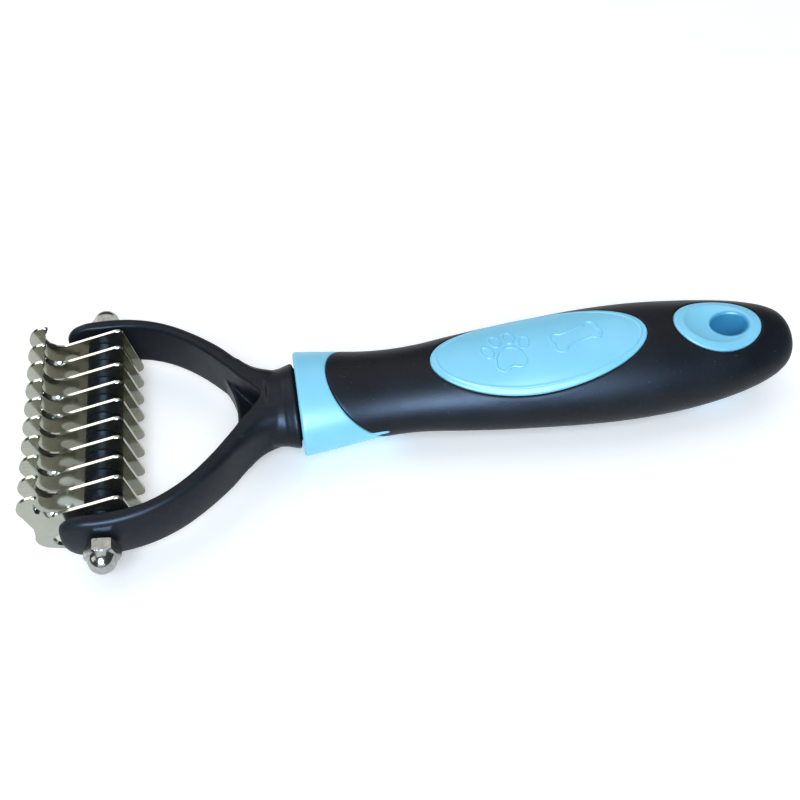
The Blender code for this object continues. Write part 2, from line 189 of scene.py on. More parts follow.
NORMAL_STEPS = (0.2, 0.01)  # along and round the handle
GRIP_THICKNESS = 1.9
CUT_X = 62.15
CUT_LEAN = 0.9
CUT_PASSES = 12
TONGUE_LENGTH = 3.6  # blue tongue along the parting line, on each side of the grip's front edge
TONGUE_HALF = 0.6
TONGUE_SLOPE = 0.24  # height over which its edge steps back
TONGUE_DROP = 0.7  # the parting line's height below the handle's axis
TONGUE_RADIUS = 10.9  # mean radius there
TONGUE_TURN = TONGUE_DROP / (SECTION_TALL * TONGUE_RADIUS)
TONGUE_TURNS = (-0.11, -0.092, -0.078, -0.066, -0.054, -0.03, 0.0, 0.03, 0.054, 0.066, 0.078, 0.092, 0.11)
TONGUE_ZONE = 0.12  # TONGUE_TURNS replace the even turns this near a tongue
TURN_COUNT = 144

# Openings and inserts, seen from above: centre, half length and half width.
OVAL = (104.6, 26.45, 12.0)
EYELET = (149.3, 11.15, 8.3)
DISH = (149.2, 8.5, 6.1)
DISH_DEPTH = 1.9
DISH_CURVE = 0.75
HOLE = (152.55, 4.5, 3.8)
HOLE_LIP = 0.55
HOLE_SHADE = (1.02, 1.16)  # painted shade: the darker colour on the hang hole's wall ends between these multiples of the hole's size
OVAL_SIDES = 170
EYELET_SIDES = 96

# The rubber as an unrolled sheet.
GRIP_RINGS = ((0.0, -0.42), (0.07, -0.2), (0.16, -0.09), (0.3, -0.02), (0.55, 0.0), (0.95, 0.0))
EDGE_STRETCH = 1.25  # how much wider the rounding is at the front edge than round the openings
SEAM_TURN = -0.436  # where the sheet is joined, clear of every opening
SEAM_STEPS = 110
UNROLL = 13.0  # millimetres of sheet to a radian of turn
SHEET_PITCH = 0.95  # between the points that fill it
SHEET_END = 0.5  # how far its last ring stays off the handle's end
CLEAR_FRONT = 2.2  # how far the filling points stay off each edge
CLEAR_TAIL = 0.6
CLEAR_OPENING = 1.6
MERGE_DISTANCE = 2e-7  # metres

# The blue core.
COLLAR_RIM = ((7.6, 5.4, 2.2), (10.9, 8.15, 2.2), (10.95, 8.2, 0.25), (11.15, 8.4, 0.02))  # recessed front face
COLLAR_FILLET = 0.75
COLLAR_STEPS = 40
COLLAR_END = 0.5  # how far the collar's plain skin stops before the grip's edge
COLLAR_EDGE = ((-0.3, -0.02), (-0.16, -0.09), (-0.07, -0.2), (-0.02, -0.42), (0.0, -1.2), (0.3, -2.1))
CORE_END = 136.5
CORE_STEPS = 20
CORE_GAP = 0.25  # between the rubber and the core inside it
INSERT_GAP = 0.04  # between an insert and the rubber round it
INSERT_EDGE = 0.5  # radius of an insert's rounded edge
OVAL_RELIEF = 0.1
OVAL_RIDGE = (1.5, 0.22, 0.2)  # the border line's distance from the edge, its spread and its height
OVAL_NARROWING = 1.15  # how much the inner rings draw in lengthways
OVAL_MIDDLE = 0.02
OVAL_FOOT = 0.4  # how far the insert reaches below the rubber's inside
OVAL_STEPS = (*range(12, 3, -1), 3.2, 2.6, 2.2, 2.0, 1.85, 1.7, 1.6, 1.5, 1.4, 1.3, 1.15, 1.0, 0.8, 0.6, 0.5, 0.4,
              0.3, 0.2, 0.12, 0.06, 0.02, 0.0)
DISH_RIM = ((0.12, 0.04), (0.3, 0.05))  # steps out of the dish: beyond its edge, and above the skin
RIM_SHOULDER = 0.54
RIM_EDGE = (0.4, 0.3, 0.2, 0.12, 0.06, 0.02, 0.0)

# Raised lines on the thumb oval: a plain paw print and a plain bone.
LINE_WIDTH = 0.4
LINE_HEIGHT = 0.34
LINE_FOOT = 0.04
LINE_STEPS = 8
PAW_PLACE = ((96.5, -1.2), 8)  # middle and lean in degrees
PAW_PAD = ((0.0, 1.2), (1.9, 0.6), (3.3, -1.6), (3.5, -3.6), (2.2, -4.7), (0.0, -4.0), (-2.2, -4.7), (-3.5, -3.6),
           (-3.3, -1.6), (-1.9, 0.6), (0.0, 1.2))
PAW_TOES = (((-4.6, 1.5), 24), ((-1.75, 4.1), 8), ((1.75, 4.1), -8), ((4.6, 1.5), -24))
TOE_SIZE = (1.25, 1.85)
TOE_STEPS = 28
PAD_STEP = 0.3
BONE_PLACE = ((113.5, 0.3), 16)
BONE_HALF = 4.6
BONE_LOBE = 1.55
BONE_SPACING = 0.8  # a lobe's distance from the middle line over its radius

# Materials: a noise value seldom leaves this range.
NOISE_LOW = 0.3
NOISE_HIGH = 0.7

# Degrees above which an edge is drawn sharp.
METAL_SHARP = 22.0
MOULDED_SHARP = 40.0
FORK_SHARP = 60.0


def at(x, y, z):
    return BOLT + Vector((x, y, z)) * MM


# ---- mesh helpers

def new_object(name, data):
    thing = bpy.data.objects.new(name, data)
    bpy.context.collection.objects.link(thing)
    return thing


def mesh_object(name, bm):
    mesh = bpy.data.meshes.new(name)
    bm.to_mesh(mesh)
    bm.free()
    return new_object(name, mesh)


def finish_piece(name, bm, body, nodes, look, sharp):
    """Turns a bmesh into a shown piece that rides on a body and stands for CAD nodes."""
    bmesh.ops.recalc_face_normals(bm, faces=bm.faces)
    for face in bm.faces:
        face.smooth = True
    for edge in bm.edges:
        if edge.calc_face_angle(0.0) > math.radians(sharp):
            edge.smooth = False
    piece = mesh_object(name, bm)
    piece.data.materials.append(look)
    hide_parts(*nodes)
    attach(piece, body)


def bridge(bm, near, far):
    """Quads between two closed rings of vertices."""
    for i in range(len(near)):
        j = (i + 1) % len(near)
        bm.faces.new((near[i], near[j], far[j], far[i]))


def add_rings(bm, rings, loop=False):
    """A solid skinned over closed rings of points: capped at both ends, or joined end to end as a loop."""
    rows = [[bm.verts.new(point) for point in ring] for ring in rings]
    for near, far in zip(rows, rows[1:]):
        bridge(bm, near, far)
    if loop:
        bridge(bm, rows[-1], rows[0])
    else:
        bm.faces.new(rows[0])
        bm.faces.new(rows[-1])


def lathe_y(profile, sides, shape=None, start=0.0):
    """Rings round the bolt's axis through (radius, y) pairs; shape(turn, radius) may change a radius."""
    rings = []
    for radius, y in profile:
        ring = []
        for turn in turns_of(sides, start):
            reach = shape(turn, radius) if shape else radius
            ring.append(at(reach * math.sin(turn), y, reach * math.cos(turn)))
        rings.append(ring)
    return rings


def turns_of(count, start=0.0):
    """Angles of a circle's corners."""
    return [start + 2 * math.pi * i / count for i in range(count)]


def ellipse_ring(x, wide, tall, lift, turns):
    """An upright elliptical ring round the handle's direction, lift above the bolt's axis."""
    return [at(x, wide * math.cos(a), lift + tall * math.sin(a)) for a in turns]


def arc(centre, radius, start, end, steps):
    """Points on a circle from one angle in degrees to another."""
    points = []
    for i in range(steps + 1):
        turn = math.radians(start + (end - start) * i / steps)
        points.append((centre[0] + radius * math.cos(turn), centre[1] + radius * math.sin(turn)))
    return points


def smooth_curve(points, step):
    """Samples about a step apart on a cubic curve through the points, paced by the distance between them."""
    points = [Vector(p) for p in points]
    gaps = [max((b - a).length, 1e-6) for a, b in zip(points, points[1:])]
    slopes = []
    for i, point in enumerate(points):
        if i == 0:
            slopes.append((points[1] - point) / gaps[0])
        elif i == len(points) - 1:
            slopes.append((point - points[-2]) / gaps[-1])
        else:
            before, after = gaps[i - 1], gaps[i]
            left, right = (point - points[i - 1]) / before, (points[i + 1] - point) / after
            slopes.append((left * after + right * before) / (before + after))
    samples = []
    for i, gap in enumerate(gaps):
        count = max(2, round(gap / step))
        for k in range(count):
            t = k / count
            samples.append(
                (2 * t**3 - 3 * t**2 + 1) * points[i] + (t**3 - 2 * t**2 + t) * gap * slopes[i]
                + (3 * t**2 - 2 * t**3) * points[i + 1] + (t**3 - t**2) * gap * slopes[i + 1])
    samples.append(points[-1])
    return samples


# ---- materials

class Look:
    """A Principled material built up from noise in the object's own space."""

    def __init__(self, name, colour, roughness, metallic=0.0, specular=0.5):
        self.material = bpy.data.materials.new(name)
        self.material.use_nodes = True
        self.tree = self.material.node_tree
        self.shader = self.tree.nodes["Principled BSDF"]
        self.shader.inputs["Base Color"].default_value = (*colour, 1)
        self.shader.inputs["Roughness"].default_value = roughness
        self.shader.inputs["Metallic"].default_value = metallic
        self.shader.inputs["Specular IOR Level"].default_value = specular
        self.place = self.node("TexCoord").outputs["Object"]
        self.bumps = None

    def node(self, kind, constants=None, **settings):
        """A new shader node with its settings and its inputs' constants."""
        node = self.tree.nodes.new("ShaderNode" + kind)
        for key, value in settings.items():
            setattr(node, key, value)
        for key, value in (constants or {}).items():
            node.inputs[key].default_value = value
        return node

    def link(self, output, socket):
        self.tree.links.new(output, socket)

    def noise(self, size, stretch=(1, 1, 1), detail=3.0, roughness=0.5):
        """Noise whose features are about size millimetres across, stretched along each axis."""
        mapping = self.node("Mapping", {"Scale": tuple(1 / (size * MM * s) for s in stretch)})
        texture = self.node("TexNoise", {"Scale": 1.0, "Detail": detail, "Roughness": roughness})
        self.link(self.place, mapping.inputs["Vector"])
        self.link(mapping.outputs["Vector"], texture.inputs["Vector"])
        return texture.outputs["Fac"]

    def spread(self, value, low, high, start=NOISE_LOW, end=NOISE_HIGH):
        """Maps a value between start and end to low and high."""
        scale = self.node("MapRange", {"From Min": start, "From Max": end, "To Min": low, "To Max": high})
        self.link(value, scale.inputs["Value"])
        return scale.outputs["Result"]

    def ring(self, centre, half_x, half_y, start, end):
        """Rises from 0 to 1 between two sizes of an upright elliptical tube around the centre."""
        place = self.node("VectorMath", {1: centre}, operation="SUBTRACT")
        self.link(self.place, place.inputs[0])
        scale = self.node("VectorMath", {1: (1 / (half_x * MM), 1 / (half_y * MM), 0)}, operation="MULTIPLY")
        self.link(place.outputs["Vector"], scale.inputs[0])
        length = self.node("VectorMath", operation="LENGTH")
        self.link(scale.outputs["Vector"], length.inputs[0])
        return self.spread(length.outputs["Value"], 0.0, 1.0, start, end)

    def colours(self, value, low, high, start=NOISE_LOW, end=NOISE_HIGH):
        """Maps a value between start and end to two colours."""
        ramp = self.node("ValToRGB")
        for stop, position, colour in zip(ramp.color_ramp.elements, (start, end), (low, high)):
            stop.position = position
            stop.color = (*colour, 1)
        self.link(value, ramp.inputs["Fac"])
        return ramp.outputs["Color"]

    def mix(self, factor, first, second):
        """Blends two colours by a factor."""
        node = self.node("Mix", data_type="RGBA")
        self.link(factor, node.inputs["Factor"])
        self.link(first, node.inputs["A"])
        self.link(second, node.inputs["B"])
        return node.outputs["Result"]

    def colour(self, output):
        self.link(output, self.shader.inputs["Base Color"])

    def rough(self, output):
        self.link(output, self.shader.inputs["Roughness"])

    def bump(self, height, depth_mm, strength=1.0):
        """Adds relief of that depth, on top of any relief added before."""
        node = self.node("Bump", {"Distance": depth_mm * MM, "Strength": strength})
        self.link(height, node.inputs["Height"])
        if self.bumps is not None:
            self.link(self.bumps, node.inputs["Normal"])
        self.bumps = node.outputs["Normal"]
        self.link(self.bumps, self.shader.inputs["Normal"])


def blade_look():
    """Polished stainless sheet: slightly wavy, with smudges and hair-fine scratches along the blade."""
    look = Look("polished_steel", (0.36, 0.36, 0.3), 0.15, 0.95)
    smudge = look.noise(5.0, detail=4.0)
    scratches = look.noise(0.9, (14, 1, 0.35), detail=4.0)
    look.colour(look.mix(
        look.spread(scratches, 0.0, 0.35),
        look.colours(smudge, (0.33, 0.33, 0.265), (0.40, 0.40, 0.335)),
        look.colours(scratches, (0.28, 0.28, 0.23), (0.50, 0.50, 0.44))))
    look.rough(look.spread(smudge, 0.07, 0.17))
    look.bump(look.noise(7.0, detail=1.0), 0.05)
    look.bump(scratches, 0.004, 0.6)
    return look.material


def nut_look():
    """Bright chrome with a trace of orange peel and a few dull spots."""
    look = Look("bright_chrome", (0.34, 0.35, 0.33), 0.14, 1.0)
    spots = look.noise(1.1, detail=5.0)
    look.colour(look.colours(spots, (0.26, 0.265, 0.24), (0.40, 0.405, 0.385)))
    look.rough(look.spread(spots, 0.20, 0.09))
    look.bump(look.noise(0.5, detail=2.0), 0.006)
    return look.material


def bolt_look():
    """Zinc-plated steel shaft, hidden inside the sleeves."""
    look = Look("zinc_plated_steel", (0.55, 0.55, 0.54), 0.35, 1.0)
    cloud = look.noise(1.5, detail=4.0)
    look.colour(look.colours(cloud, (0.45, 0.45, 0.43), (0.62, 0.62, 0.60)))
    look.rough(look.spread(cloud, 0.28, 0.42))
    look.bump(look.noise(0.4, (6, 1, 6)), 0.01)
    return look.material


def sleeve_look():
    """Glossy black moulded sleeves with dust specks."""
    look = Look("gloss_black", (0.008, 0.009, 0.012), 0.36, specular=0.06)
    specks = look.noise(0.35, detail=2.0)
    look.colour(look.colours(specks, (0.006, 0.007, 0.010), (0.07, 0.075, 0.08), 0.62, 0.8))
    look.rough(look.spread(look.noise(1.6, detail=4.0), 0.3, 0.45))
    look.bump(look.noise(1.2, (1, 3, 1)), 0.01)
    return look.material


def fork_look():
    """Satin black nylon: fine sparkle of the mould's texture, faint flow streaks and rubbed patches."""
    look = Look("satin_black_nylon", (0.009, 0.011, 0.0155), 0.42, specular=0.12)
    cloud = look.noise(9.0, detail=4.0)
    streaks = look.noise(1.0, (9, 0.8, 2.5), detail=5.0)
    look.colour(look.mix(
        look.spread(streaks, 0.0, 0.5),
        look.colours(cloud, (0.007, 0.009, 0.012), (0.012, 0.0145, 0.019)),
        look.colours(streaks, (0.007, 0.009, 0.012), (0.018, 0.021, 0.028))))
    look.rough(look.spread(cloud, 0.33, 0.46))
    look.bump(look.noise(0.3, detail=2.0), 0.010)
    look.bump(streaks, 0.012, 0.5)
    return look.material


def core_look():
    """Pale blue satin plastic: slight clouding, a fine spark-eroded grain, and painted shade darkening the hang
    hole's wall.
    """
    look = Look("sky_blue_plastic", (0.24, 0.68, 0.93), 0.38)
    cloud = look.noise(14.0, detail=3.0)
    grain = look.noise(0.2, detail=2.0)
    # Painted shade: inside the hang hole the first, darker pair of blues below is used, standing for the shade in
    # the hole.
    depth = look.ring(at(HOLE[0], 0, 0), HOLE[1], HOLE[2], *HOLE_SHADE)
    look.colour(look.mix(
        depth,
        look.colours(cloud, (0.06, 0.36, 0.60), (0.075, 0.40, 0.66)),
        look.colours(cloud, (0.222, 0.64, 0.885), (0.25, 0.70, 0.95))))
    look.rough(look.spread(look.noise(2.5, detail=4.0), 0.32, 0.46))
    look.bump(grain, 0.006)
    look.bump(look.noise(6.0, detail=1.0), 0.03, 0.5)
    return look.material


def grip_look():
    """Soft black rubber: matt, with a pebbled skin, dust caught in it and smoother rubbed patches."""
    look = Look("soft_black_rubber", (0.007, 0.008, 0.0115), 0.42, specular=0.16)
    pebble = look.noise(0.42, detail=3.0, roughness=0.65)
    cloud = look.noise(11.0, detail=5.0)
    dust = look.noise(0.5, (1.6, 1, 1), detail=1.0)
    look.colour(look.mix(
        look.spread(dust, 0.0, 0.5, 0.69, 0.8),
        look.colours(cloud, (0.004, 0.005, 0.0075), (0.008, 0.0095, 0.0135)),
        look.colours(pebble, (0.03, 0.03, 0.03), (0.10, 0.097, 0.09))))
    look.rough(look.spread(cloud, 0.40, 0.49))
    look.bump(pebble, 0.03)
    return look.material


# ---- blades

def smooth_step(t):
    """Eases from 0 to 1."""
    t = max(0.0, min(1.0, t))
    return t * t * (3 - 2 * t)


def mouth_bevel(t):
    """Share of the bevel's full width along the big hook's mouth, from the shank at 0 to the hook's point at 1."""
    if t < MOUTH_PEAK:
        wide = smooth_step(t / MOUTH_PEAK)
    else:
        wide = MOUTH_REST + (1 - MOUTH_REST) * (1 - smooth_step((t - MOUTH_PEAK) / MOUTH_FADE))
    return wide * (1 - smooth_step((t - MOUTH_END) / (1 - MOUTH_END)))


def lower_bevel(t):
    return LOWER_GRIND * math.sin(math.pi * t)


def blade_outline():
    """One blade seen along the bolt, anticlockwise: (x, z) with how wide the bevel is there, from 0 to 1."""
    points = []
    for stretch, bevel in (
            (arc(*TAIL_TOP), None),
            (arc(*HOOK_MOUTH), mouth_bevel),
            (arc(*HOOK_POINT) + arc(*HOOK_BACK) + [FRONT_WAIST] + arc(*LOWER_BACK) + arc(*LOWER_POINT), None),
            (arc(*LOWER_MOUTH), lower_bevel),
            (arc(*SHANK_BOTTOM) + arc(*TAIL_BOTTOM), None)):
        for k, point in enumerate(stretch):
            points.append((point, max(0.0, bevel(k / (len(stretch) - 1))) if bevel else 0.0))
    return points


def inward(points, i):
    """Unit direction into the blade at one point of its anticlockwise outline."""
    before, after = points[i - 1], points[(i + 1) % len(points)]
    run = Vector((after[0] - before[0], after[1] - before[1])).normalized()
    return Vector((-run.y, run.x))


def make_blades(look):
    outline = blade_outline()
    flat = [point for point, _ in outline]
    dirs = [inward(flat, i) for i in range(len(flat))]
    half = BLADE_THICKNESS / 2
    first = -(BLADE_COUNT - 1) / 2 * BLADE_PITCH
    for n in range(BLADE_COUNT):
        y = first + n * BLADE_PITCH
        bm = bmesh.new()
        rows = []
        for level in range(GRIND_STEPS + 2):
            ring = []
            for (point, wide), into in zip(outline, dirs):
                grind = max(BLADE_EDGE, wide * GRIND_WIDTH[n])
                cut = max(BLADE_EDGE, min(wide * GRIND_ONSET, 1.0) * GRIND_DEPTH[n])
                share = max(0.0, 1 - level / (GRIND_STEPS - 1))
                sink, depth = grind * share, -half + cut * (1 - share) ** GRIND_CURVE
                if level == GRIND_STEPS:
                    depth = half - BLADE_EDGE
                elif level > GRIND_STEPS:
                    sink, depth = BLADE_EDGE, half
                ring.append(bm.verts.new(at(point[0] + into.x * sink, y + depth, point[1] + into.y * sink)))
            rows.append(ring)
        for near, far in zip(rows, rows[1:]):
            bridge(bm, near, far)
        bores = []
        for row, depth in ((rows[0], -half), (rows[-1], half)):
            bore = [bm.verts.new(at(BORE_RADIUS * math.cos(a), y + depth, BORE_RADIUS * math.sin(a)))
                    for a in turns_of(BORE_SIDES)]
            bores.append(bore)
            for i, vert in enumerate(row):
                bm.edges.get((vert, row[i - 1])).smooth = False
            loops = [[Vector((v.co.x, v.co.z, 0)) / MM for v in loop] for loop in (row, bore)]
            for corners in geometry.tessellate_polygon(loops):
                bm.faces.new([(row + bore)[i] for i in corners])
        bridge(bm, *bores)
        finish_piece(f"hook_blade_{n + 1:02d}", bm, "cassette", [f"blade_{n + 1:02d}"], look,
                     METAL_SHARP)


def sleeve_rings(low, high):
    """Closed ring section of a sleeve with rounded outer edges."""
    reach = SLEEVE_RADIUS - SLEEVE_ROUND
    profile = [(BORE_RADIUS, low)]
    profile += arc((reach, low + SLEEVE_ROUND), SLEEVE_ROUND, -90, 0, 6)
    profile += arc((reach, high - SLEEVE_ROUND), SLEEVE_ROUND, 0, 90, 6)
    profile += [(BORE_RADIUS, high)]
    return lathe_y(profile, SLEEVE_SIDES)


def make_sleeves(look):
    half = (BLADE_PITCH - BLADE_THICKNESS) / 2 - SLEEVE_GAP
    first = -(BLADE_COUNT - 2) / 2 * BLADE_PITCH
    spots = [(f"bolt_sleeve_{n + 1:02d}", f"spacer_{n + 1:02d}", first + n * BLADE_PITCH - half,
              first + n * BLADE_PITCH + half) for n in range(BLADE_COUNT - 1)]
    inside = (BLADE_COUNT - 1) / 2 * BLADE_PITCH + BLADE_THICKNESS / 2 + SLEEVE_GAP
    spots.append(("outer_sleeve_right", "end_washer_right", -CASSETTE_HALF, -inside))
    spots.append(("outer_sleeve_left", "end_washer_left", inside, CASSETTE_HALF))
    for name, node, low, high in spots:
        bm = bmesh.new()
        add_rings(bm, sleeve_rings(low, high), loop=True)
        finish_piece(name, bm, "cassette", [node], look, MOULDED_SHARP)


# ---- nuts

def nut_section(turn, radius):
    """The hexagon cut by a turned profile of the given radius."""
    from_flat = (turn - NUT_TURN + math.pi / 6) % (math.pi / 3) - math.pi / 6
    return min(NUT_FLATS / 2 / math.cos(from_flat), radius)


def nut_profile():
    """(radius, y) pairs from the blind bore's end round the seat, the chamfer and the dome."""
    corner = NUT_FLATS / math.sqrt(3)
    seat = NUT_SEAT + NUT_SEAT_GAP
    outer = corner + NUT_REACH
    profile = [(BORE_RADIUS, NUT_BORE_END), (BORE_RADIUS, seat), (corner - NUT_SEAT_BEVEL, seat),
               (outer, NUT_SEAT + NUT_SEAT_BEVEL)]
    for k in range(NUT_CHAMFER_STEPS + 1):
        drop = k / NUT_CHAMFER_STEPS
        profile.append((outer - drop * (outer - NUT_LAND), NUT_TOP - NUT_CHAMFER * (1 - drop)))
    profile += [(DOME_RADIUS + out, NUT_TOP + above) for out, above in DOME_FOOT]
    for k in range(DOME_RINGS):
        lean = math.radians(DOME_FIRST + k * DOME_STEP)
        profile.append((DOME_RADIUS * math.cos(lean), DOME_CENTRE + DOME_RADIUS * math.sin(lean)))
    return profile


def make_nuts(look):
    for side, name, node, body in (
            (1, "dome_nut_left", "acorn_nut_left", "nut_left"),
            (-1, "dome_nut_right", "acorn_nut_right", "nut_right")):
        bm = bmesh.new()
        add_rings(bm, lathe_y([(r, side * y) for r, y in nut_profile()], NUT_SIDES, nut_section, NUT_TURN))
        finish_piece(name, bm, body, [node], look, METAL_SHARP)


# ---- fork

def arm_rings(side):
    """Cross-sections of one arm: flat inside, crowned and rounded outside."""
    rings = []
    for ox, oy, ix, iy, height in smooth_curve(ARM_STATIONS, ARM_STEP):
        inner = Vector((ix, iy))
        outward = Vector((ox, oy)) - inner
        width = outward.length
        outward.normalize()
        bend = min(ARM_ROUND + max(0.0, ox - ARM_GROWTH[0]) * ARM_GROWTH[1], width * ARM_ROUND_LIMIT[0],
                   height * ARM_ROUND_LIMIT[1])
        edge = min(ARM_INNER_ROUND, bend)
        crown = ARM_CROWN * (1 - smooth_step((ox - ARM_CROWN_FADE[0]) / ARM_CROWN_FADE[1]))
        profile = [(edge, -height), (0.0, -height + edge), (0.0, height - edge), (edge, height)]
        profile += arc((width - bend, height - bend), bend, 90, 0, 6)
        profile += [(width + crown * (1 - (z / (height - bend)) ** 2), z)
                    for z in ((height - bend) * k / 4 for k in (3, 2, 1, 0, -1, -2, -3))]
        profile += arc((width - bend, -height + bend), bend, 0, -90, 6)
        ring = []
        for reach, z in profile:
            flat = inner + outward * reach
            ring.append(at(flat.x, side * flat.y, z))
        rings.append(ring)
    return rings


def mirrored(side):
    """The points' mirror images across the handle's middle plane, in reverse order."""
    return [(x, -y) for x, y in reversed(side)]


def fork_block(bm):
    """Web with the triangular hollow's sloping floor, and the block round the hollow."""
    columns, rows = WEB_GRID
    top, bottom = [], []
    for i in range(columns):
        y = WEB_HALF * (2 * i / (columns - 1) - 1)
        front = WEB_FRONT - WEB_HOLLOW * (y / WEB_HALF) ** 2
        for k in range(rows):
            x = front + (POCKET_TIP + WEB_BACK[0] - WEB_BACK[1] * abs(y) - front) * k / (rows - 1)
            sink = min(1.0, max(0.0, (x - front - POCKET_FLAT) / (POCKET_TIP - WEB_FRONT)))
            floor = POCKET_FLOOR[0] + (POCKET_FLOOR[1] - POCKET_FLOOR[0]) * sink**POCKET_CURVE
            top.append(bm.verts.new(at(x, y, floor)))
            bottom.append(bm.verts.new(at(x, y, -WEB_HEIGHT + WEB_LIFT)))
    for i in range(columns - 1):
        for k in range(rows - 1):
            a, b = i * rows + k, (i + 1) * rows + k
            bm.faces.new((top[a], top[a + 1], top[b + 1], top[b]))
            bm.faces.new((bottom[a], bottom[b], bottom[b + 1], bottom[a + 1]))
    rim = [i * rows for i in range(columns)] + [(columns - 1) * rows + k for k in range(1, rows)]
    rim += [i * rows + rows - 1 for i in range(columns - 2, -1, -1)] + [k for k in range(rows - 2, 0, -1)]
    for a, b in zip(rim, rim[1:] + rim[:1]):
        bm.faces.new((top[a], top[b], bottom[b], bottom[a]))
    pocket = [*POCKET_SIDE, (POCKET_TIP, 0.0), *mirrored(POCKET_SIDE)]
    outline = [*BLOCK_SIDE, *mirrored(BLOCK_SIDE), *pocket[::-1]]
    add_rings(bm, [[at(x, y, height) for x, y in outline] for height in (-WEB_HEIGHT, WEB_HEIGHT)])


def baked(helper, *others):
    """The helper's shape after its modifiers, as a bmesh; it and the other helpers are removed."""
    bpy.context.view_layer.update()
    shape = bpy.data.meshes.new_from_object(helper.evaluated_get(bpy.context.evaluated_depsgraph_get()))
    for each in (helper, *others):
        bpy.data.objects.remove(each, do_unlink=True)
    bm = bmesh.new()
    bm.from_mesh(shape)
    return bm


def drilled(bm):
    """The given solid with the bolt's clearance hole cut through both arms."""
    solid = mesh_object("fork_solid", bm)
    drill = bmesh.new()
    add_rings(drill, lathe_y([(BORE_RADIUS, -DRILL_REACH), (BORE_RADIUS, DRILL_REACH)], BORE_SIDES))
    bmesh.ops.recalc_face_normals(drill, faces=drill.faces)
    cutter = mesh_object("fork_drill", drill)
    cut = solid.modifiers.new("bore", "BOOLEAN")
    cut.operation = "DIFFERENCE"
    cut.solver = "EXACT"
    cut.object = cutter
    return baked(solid, cutter)


def step_groove(bm):
    """A shallow groove round the neck, just before its shoulder."""
    for vert in bm.verts:
        away = (vert.co.x - BOLT.x) / MM - SHOULDER_X
        if away > SHOULDER_START and abs(vert.normal.x) < SHOULDER_STEEP:
            step = min(1.0, max(0.0, (away - SHOULDER_STEP[0]) / SHOULDER_STEP[1]))
            fade = min(1.0, max(0.0, (away - SHOULDER_START) / SHOULDER_FADE))
            vert.co -= vert.normal * SHOULDER_DEPTH * MM * fade * (1 - step)


def make_fork(look):
    bm = bmesh.new()
    for side in (-1, 1):
        add_rings(bm, arm_rings(side))
    fork_block(bm)
    neck = []
    for x, wide, tall in smooth_curve(NECK, NECK_STEP):
        lift = NECK_RISE * min(1.0, (x - NECK[0][0]) / NECK_RISE_LENGTH)
        neck.append(ellipse_ring(x, wide, tall, lift, turns_of(NECK_SIDES)))
    add_rings(bm, neck)
    add_rings(bm, [ellipse_ring(x, *NECK_STUB, HANDLE_RISE, turns_of(STUB_SIDES)) for x in STUB_SPAN])
    bmesh.ops.recalc_face_normals(bm, faces=bm.faces)
    rough = mesh_object("fork_rough", bm)
    remesh = rough.modifiers.new("blend", "REMESH")
    remesh.mode = "VOXEL"
    remesh.voxel_size = FORK_VOXEL * MM
    bm = baked(rough)
    for _ in range(FORK_SMOOTHING):
        bmesh.ops.smooth_vert(bm, verts=bm.verts, factor=0.5, use_axis_x=True, use_axis_y=True, use_axis_z=True)
    bm.normal_update()
    step_groove(bm)
    finish_piece("moulded_fork", drilled(bm), "handle", ["fork"], look, FORK_SHARP)


# ---- handle

def span_at(keys, value):
    """Index of the rising keys' span that holds a value, and the value's share of the way along it."""
    low, high = 0, len(keys) - 1
    while high - low > 1:
        middle = (low + high) // 2
        if keys[middle] <= value:
            low = middle
        else:
            high = middle
    return low, (value - keys[low]) / max(keys[high] - keys[low], 1e-9)


class Skin:
    """The handle's outside, by the distance along it and the turn about its axis (0 is +Y, a quarter is up)."""

    def __init__(self):
        self.samples = smooth_curve(HANDLE_PROFILE, SKIN_STEP)
        self.xs = [sample.x for sample in self.samples]
        self.run = [0.0]
        for a, b in zip(self.samples, self.samples[1:]):
            self.run.append(self.run[-1] + (b - a).length)
        self.length = self.run[-1]

    def station(self, s):
        """Distance behind the bolt, mean radius and rise at a distance along the skin."""
        low, share = span_at(self.run, s)
        return self.samples[low].lerp(self.samples[low + 1], share)

    def run_at(self, x):
        """Distance along the skin at x."""
        low, share = span_at(self.xs, x)
        return self.run[low] + share * (self.run[low + 1] - self.run[low])

    def raw(self, s, turn):
        """A point on the skin in millimetres from the bolt."""
        x, radius, rise = self.station(min(max(s, 0.0), self.length))
        return Vector((
            x, SECTION_WIDE * radius * math.cos(turn),
            HANDLE_RISE + rise + SECTION_TALL * radius * math.sin(turn)))

    def point(self, s, turn, lift=0.0):
        """A point on the skin, or lift millimetres outside it, in the frame's metres."""
        here = self.raw(s, turn)
        if lift:
            here = here + self.normal(s, turn) * lift
        return at(*here)

    def normal(self, s, turn):
        """Unit direction out of the skin."""
        step, lean = NORMAL_STEPS
        along = self.raw(s + step, turn) - self.raw(s - step, turn)
        across = self.raw(s, turn + lean) - self.raw(s, turn - lean)
        return across.cross(along).normalized()

    def above(self, x, y, side=1):
        """(distance, turn) of the skin's point at x and y, seen from above (1) or below (-1)."""
        s = self.run_at(x)
        radius = self.station(s).y
        turn = math.acos(max(-1.0, min(1.0, y / (SECTION_WIDE * radius))))
        return s, turn if side > 0 else 2 * math.pi - turn


skin = Skin()


def cut_run(turn):
    """Distance along the skin of the grip's slanted front edge, with a tongue of the core at each parting line."""
    x = CUT_X
    for _ in range(CUT_PASSES):
        radius = skin.station(skin.run_at(x)).y
        x = CUT_X - CUT_LEAN * SECTION_TALL * radius * math.sin(turn)
    radius = skin.station(skin.run_at(x)).y
    height = abs(SECTION_TALL * radius * math.sin(turn) + TONGUE_DROP)
    inside = (TONGUE_HALF + TONGUE_SLOPE / 2 - height) / TONGUE_SLOPE
    return skin.run_at(x + TONGUE_LENGTH * min(1.0, max(0.0, inside)))


